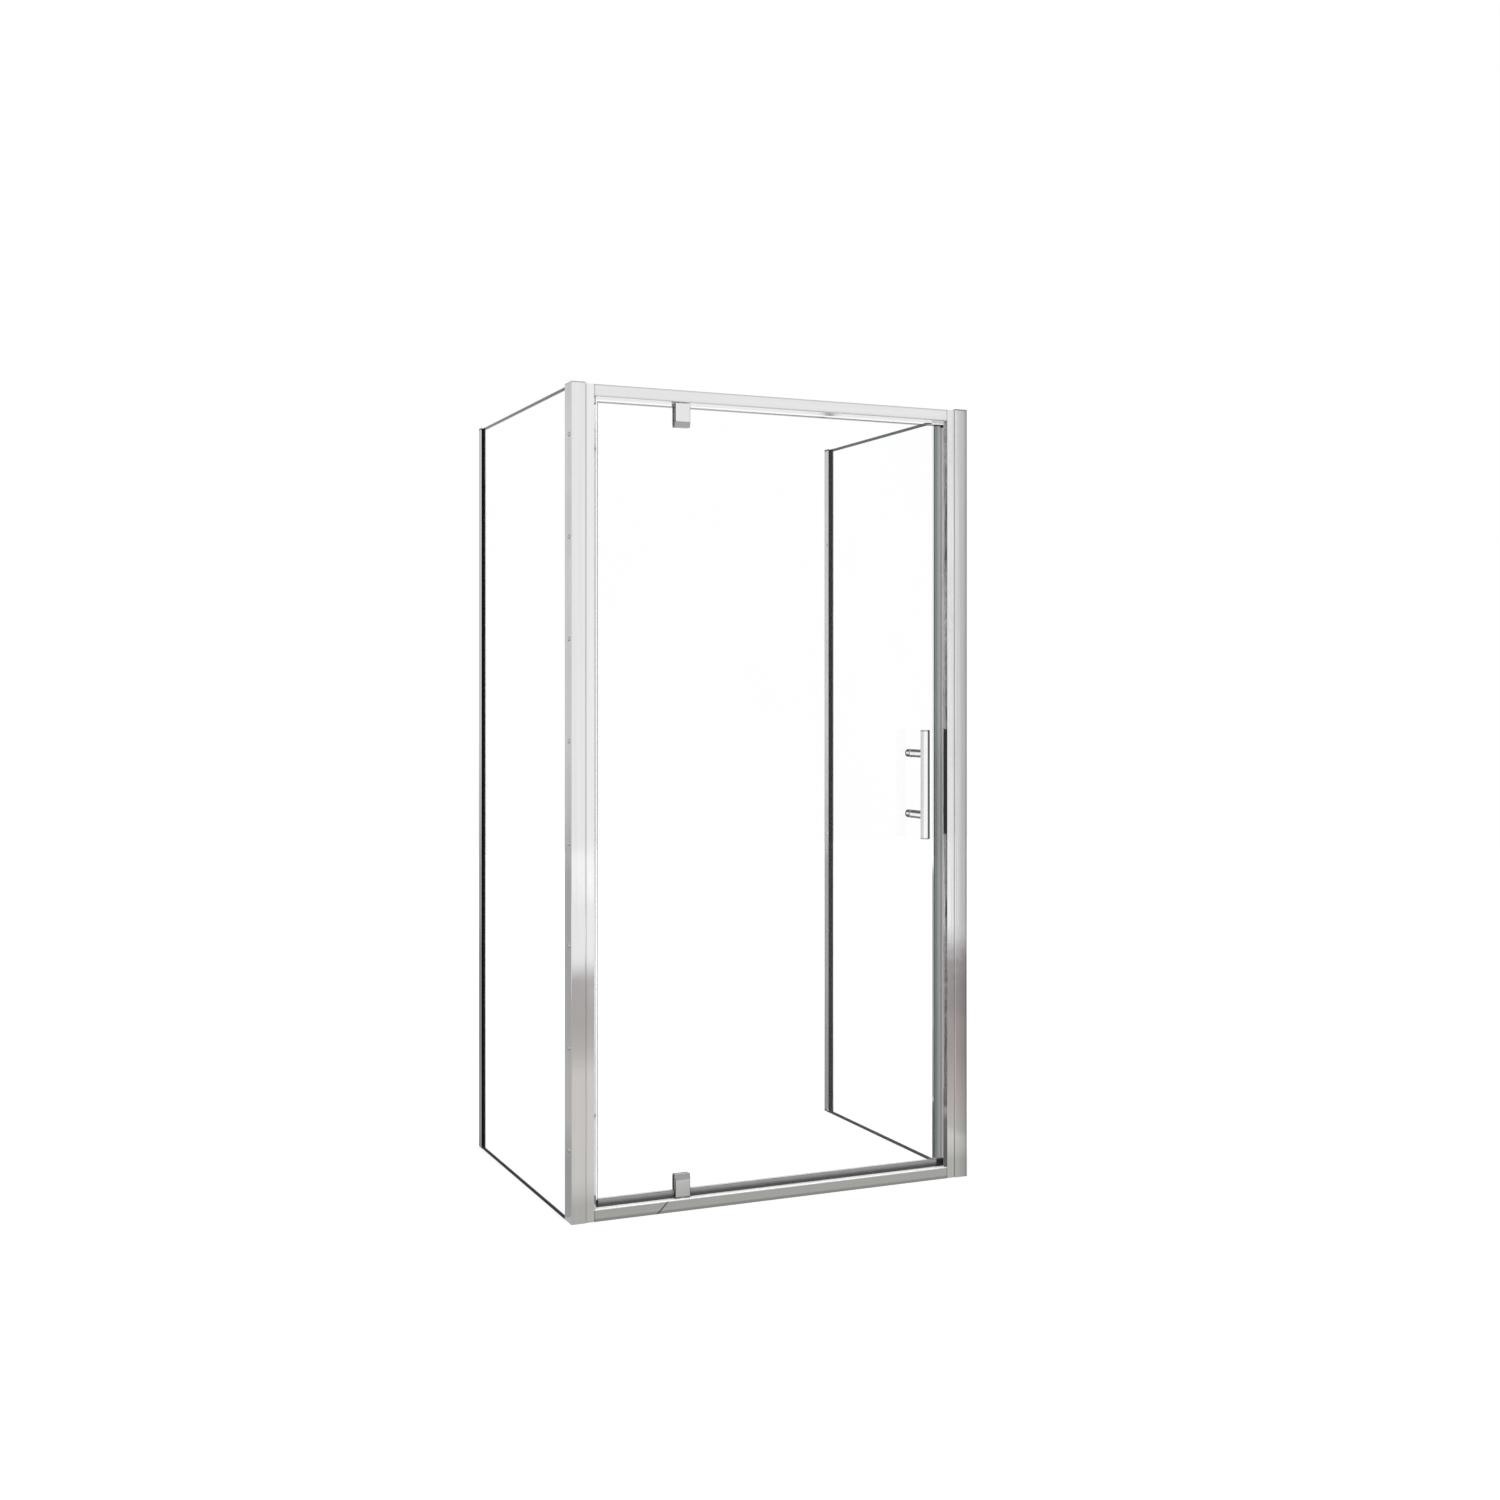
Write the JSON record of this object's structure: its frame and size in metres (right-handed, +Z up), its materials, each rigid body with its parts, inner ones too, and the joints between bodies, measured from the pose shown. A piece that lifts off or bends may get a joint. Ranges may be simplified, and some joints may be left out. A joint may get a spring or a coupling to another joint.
{
  "type": "u-shaped shower enclosure",
  "caption": "Three-sided framed shower enclosure with two fixed glass sides and an outward-opening pivot door with a round bar handle.",
  "frame": {"origin": "on the floor half way along the threshold, in the middle plane of the closed door's glass", "axes": "+X to the right seen from the front, +Y back to the wall, +Z up"},
  "size_m": [1.005, 0.812, 1.85],
  "materials": {
    "chrome_profile": "bright polished",
    "chrome_fitting": "bright polished",
    "clear_glass": "clear toughened, green edge",
    "black_rubber": "matt black",
    "clear_pvc": "clear soft plastic",
    "magnet_strip": "dark magnetic rubber",
    "white_nylon": "moulded nylon",
    "grey_pad": "matt grey",
    "steel_screw": "stainless steel",
    "bare_aluminium": "as extruded"
  },
  "bodies": {
    "frame": {"hinge_jamb": "chrome_profile", "closing_jamb": "chrome_profile", "jamb_top_plugs": "grey_pad", "top_rail": "chrome_profile", "sill_left_length": "chrome_profile", "sill_right_length": "chrome_profile", "sill_joiner": "bare_aluminium", "corner_screws_top": "steel_screw", "corner_screws_bottom": "steel_screw", "jamb_magnet_strip": "clear_pvc", "jamb_magnet": "magnet_strip", "top_pivot_bush": "white_nylon", "bottom_pivot_bush": "white_nylon", "wall_channel_left": "chrome_profile", "wall_channel_right": "chrome_profile", "wall_gasket_left": "black_rubber", "wall_gasket_right": "black_rubber", "wall_clamp_screws_left": "chrome_fitting", "wall_clamp_screws_right": "chrome_fitting", "side_glass_left": "clear_glass", "side_glass_right": "clear_glass", "side_floor_seal_left": "black_rubber", "side_floor_seal_right": "black_rubber", "side_profile_left": "chrome_profile", "side_profile_right": "chrome_profile", "side_gasket_left": "black_rubber", "side_gasket_right": "black_rubber", "corner_post_left": "chrome_profile", "corner_post_right": "chrome_profile", "post_cap_left": "chrome_fitting", "post_cap_right": "chrome_fitting", "post_side_screws_left": "steel_screw", "post_side_screws_right": "steel_screw", "post_side_caps_left": "chrome_fitting", "post_side_caps_right": "chrome_fitting"},
    "door": {"door_glass": "clear_glass", "top_block_outer": "chrome_fitting", "top_block_inner": "chrome_fitting", "bottom_block_outer": "chrome_fitting", "bottom_block_inner": "chrome_fitting", "pivot_block_pads": "grey_pad", "pivot_block_sleeves": "white_nylon", "pivot_block_screws": "steel_screw", "top_pivot_pin": "steel_screw", "bottom_pivot_pin": "steel_screw", "handle_bar": "chrome_fitting", "handle_posts": "chrome_fitting", "handle_inner_knobs": "chrome_fitting", "handle_washers": "white_nylon", "handle_studs": "steel_screw", "door_magnet_seal": "clear_pvc", "door_magnet": "magnet_strip", "door_hinge_edge_seal": "clear_pvc", "bottom_seal_short": "clear_pvc", "bottom_seal_long": "clear_pvc"}
  },
  "joints": [
    {"name": "door_pivot", "type": "hinge", "parent": "frame", "child": "door", "pos_m": [-0.234, 0, 0.9235], "axis": [0, 0, -1], "range_deg": [0, 90]}
  ]
}
